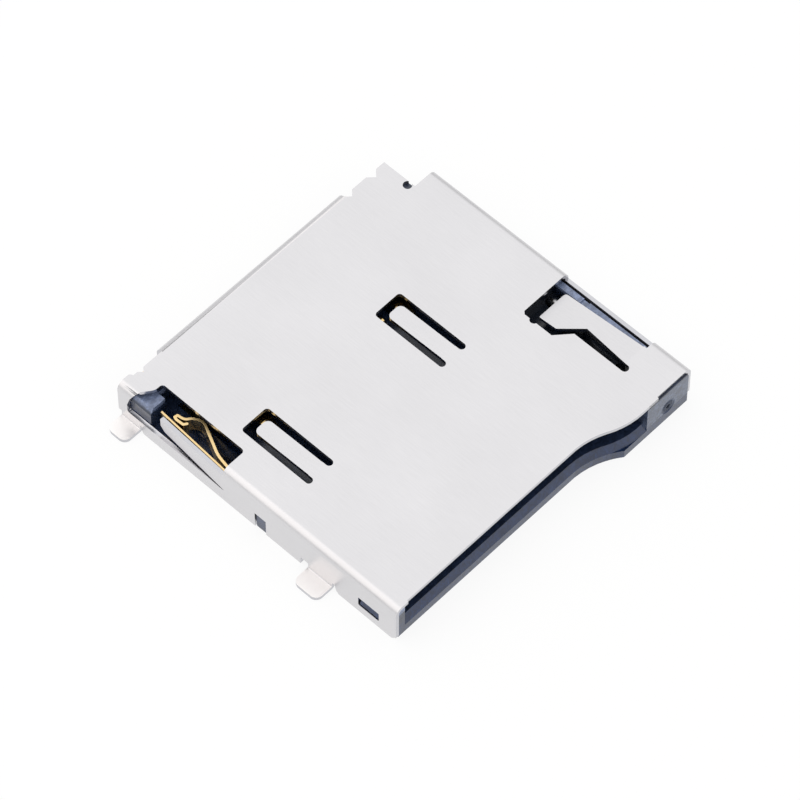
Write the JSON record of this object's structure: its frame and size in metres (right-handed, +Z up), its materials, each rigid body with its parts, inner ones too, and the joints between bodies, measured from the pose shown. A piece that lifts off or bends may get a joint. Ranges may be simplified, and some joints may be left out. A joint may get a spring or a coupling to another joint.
{
  "type": "memory card socket",
  "caption": "Low board-mounted push-push socket for a thumbnail-size memory card: stamped steel shell with spring fingers over a moulded plastic housing with gilt contacts and a heart-cam ejector.",
  "frame": {"origin": "on the board plane, under the middle of the shell's plate", "axes": "+X to the right seen from the mouth, +Y the way the card goes in, +Z up from the board"},
  "size_m": [0.0154, 0.0142, 0.0019],
  "materials": {
    "shell_steel": "satin stainless sheet",
    "housing_plastic": "moulded, fine matt",
    "contact_gold": "thin gold plating on copper alloy",
    "slider_plastic": "moulded, fine matt",
    "wire_steel": "drawn stainless wire"
  },
  "bodies": {
    "socket": {"shell": "shell_steel", "housing": "housing_plastic", "contact_1": "contact_gold", "contact_2": "contact_gold", "contact_3": "contact_gold", "contact_4": "contact_gold", "contact_5": "contact_gold", "contact_6": "contact_gold", "contact_7": "contact_gold", "contact_8": "contact_gold", "detect_spring": "contact_gold", "detect_fixed": "contact_gold", "eject_spring": "wire_steel"},
    "slider": {"slider": "slider_plastic"},
    "cam_pin": {"cam_pin": "wire_steel"}
  },
  "joints": [
    {"name": "slider_push", "type": "slide", "parent": "socket", "child": "slider", "axis": [0, 1, 0], "range_m": [0, 0.0038], "stiffness_N_per_m": 100, "springref_m": -0.004, "deforming": ["eject_spring"]},
    {"name": "pin_swing", "type": "hinge", "parent": "socket", "child": "cam_pin", "pos_m": [0.006, -0.00656, 0.0007], "axis": [0, 0, 1], "range_deg": [0, 9]}
  ],
  "couplings": [
    {"joint": "pin_swing", "follows": "slider_push", "rad_per_m": 38.33}
  ]
}
